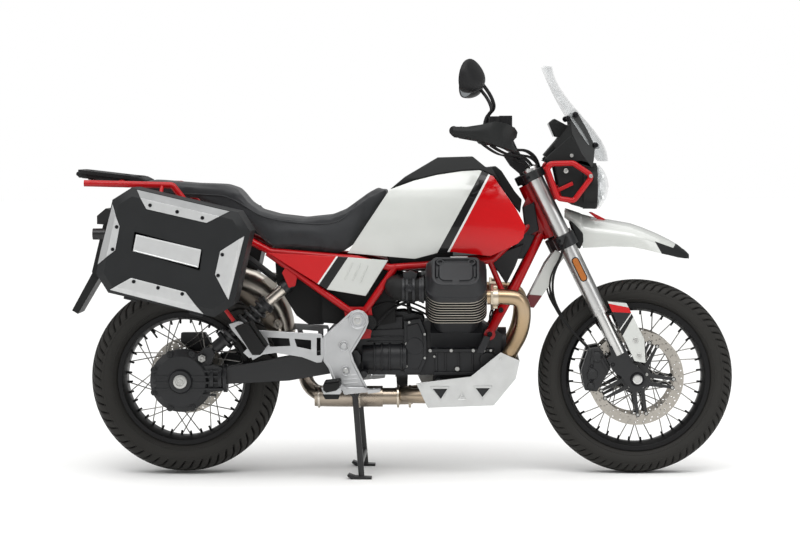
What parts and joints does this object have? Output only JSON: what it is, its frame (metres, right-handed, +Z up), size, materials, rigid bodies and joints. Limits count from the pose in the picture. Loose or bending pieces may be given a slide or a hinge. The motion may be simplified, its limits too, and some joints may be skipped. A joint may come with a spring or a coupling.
{
  "type": "adventure motorcycle",
  "caption": "Adventure motorcycle with a transverse V-twin, shaft drive, wire wheels, hard side cases, windscreen and centre stand.",
  "frame": {"origin": "on the ground, on the centre plane, halfway along the overall length", "axes": "+X forward, +Y to the rider's left, +Z up"},
  "size_m": [2.2369, 0.9418, 1.3868],
  "materials": {
    "frame_red": "gloss",
    "engine_black": "satin",
    "cylinder_alloy": "satin",
    "cover_black": "satin",
    "rubber_black": "matt",
    "plastic_black": "grained",
    "exhaust_steel": "heat tinted",
    "silencer_steel": "satin",
    "plate_alloy": "brushed",
    "bracket_alloy": "cast",
    "peg_rubber": "matt",
    "arm_black": "satin paint",
    "drive_black": "satin paint",
    "spring_steel": "black",
    "caliper_black": "anodised",
    "lamp_red": "clear",
    "rack_alloy": "black paint",
    "seat_cover": "matt grain",
    "tank_paint": "gloss",
    "lamp_glass": "clear",
    "screen_clear": "clear",
    "display_black": "gloss",
    "case_black": "grained",
    "fork_alloy": "anodised",
    "leg_alloy": "satin",
    "clamp_black": "satin",
    "bar_alloy": "satin",
    "control_black": "matt",
    "mirror_black": "grained",
    "guard_white": "gloss",
    "tyre_black": "matt",
    "rim_black": "gloss paint",
    "disc_steel": "ground",
    "stand_black": "satin"
  },
  "bodies": {
    "chassis": {"frame": "frame_red", "engine_block": "engine_black", "cylinders": "cylinder_alloy", "rocker_covers": "cover_black", "intakes": "rubber_black", "inner_box": "plastic_black", "exhaust_pipes": "exhaust_steel", "silencer": "silencer_steel", "skid_plate": "plate_alloy", "peg_plates": "bracket_alloy", "foot_controls": "peg_rubber", "swingarm": "arm_black", "final_drive": "drive_black", "shock_absorber": "spring_steel", "rear_caliper": "caliper_black", "rear_fender": "plastic_black", "rear_lamps": "lamp_red", "rear_rack": "rack_alloy", "rack_tubes": "frame_red", "seat": "seat_cover", "fuel_tank": "tank_paint", "tank_cover": "plastic_black", "side_covers": "tank_paint", "side_stand_bracket": "engine_black", "headlight_body": "plastic_black", "headlight_lenses": "lamp_glass", "headlight_guard": "frame_red", "windscreen": "screen_clear", "cockpit_fairing": "plastic_black", "instrument": "display_black", "pannier_shell_right": "case_black", "pannier_shell_left": "case_black"},
    "steering": {"fork_tubes": "fork_alloy", "fork_legs": "leg_alloy", "fork_clamps": "clamp_black", "handlebar": "bar_alloy", "bar_controls": "control_black", "hand_guards": "plastic_black", "mirrors": "mirror_black", "front_fender": "tank_paint", "front_flap": "plastic_black", "fork_guards": "guard_white", "calipers": "caliper_black", "brake_hoses": "rubber_black"},
    "front_wheel": {"front_tyre": "tyre_black", "front_wheel": "rim_black", "front_discs": "disc_steel"},
    "rear_wheel": {"rear_tyre": "tyre_black", "rear_wheel": "rim_black", "rear_disc": "disc_steel"},
    "centre_stand": {"centre_stand": "stand_black"},
    "side_stand": {"side_stand": "stand_black"},
    "pannier_lid_right": {"pannier_lid_right": "case_black"},
    "pannier_lid_left": {"pannier_lid_left": "case_black"}
  },
  "joints": [
    {"name": "steering_turn", "type": "hinge", "parent": "chassis", "child": "steering", "pos_m": [0.40784, 0, 1.01477], "axis": [-0.4352, 0, 0.9003], "range_deg": [-35, 35]},
    {"name": "front_wheel_spin", "type": "hinge", "parent": "steering", "child": "front_wheel", "pos_m": [0.786, 0, 0.329], "axis": [0, 1, 0], "continuous": true},
    {"name": "rear_wheel_spin", "type": "hinge", "parent": "chassis", "child": "rear_wheel", "pos_m": [-0.744, 0, 0.327], "axis": [0, 1, 0], "continuous": true},
    {"name": "centre_stand_fold", "type": "hinge", "parent": "chassis", "child": "centre_stand", "pos_m": [-0.16, 0, 0.29], "axis": [0, 1, 0], "range_deg": [0, 86]},
    {"name": "side_stand_swing", "type": "hinge", "parent": "chassis", "child": "side_stand", "pos_m": [-0.01, 0.187, 0.258], "axis": [0, -0.9061, -0.423], "range_deg": [0, 98]},
    {"name": "right_lid_hinge", "type": "hinge", "parent": "chassis", "child": "pannier_lid_right", "pos_m": [-0.77257, -0.36, 0.59481], "axis": [0.9736, 0, -0.2284], "range_deg": [0, 75]},
    {"name": "left_lid_hinge", "type": "hinge", "parent": "chassis", "child": "pannier_lid_left", "pos_m": [-0.77257, 0.36, 0.59481], "axis": [-0.9736, 0, 0.2284], "range_deg": [0, 75]}
  ]
}
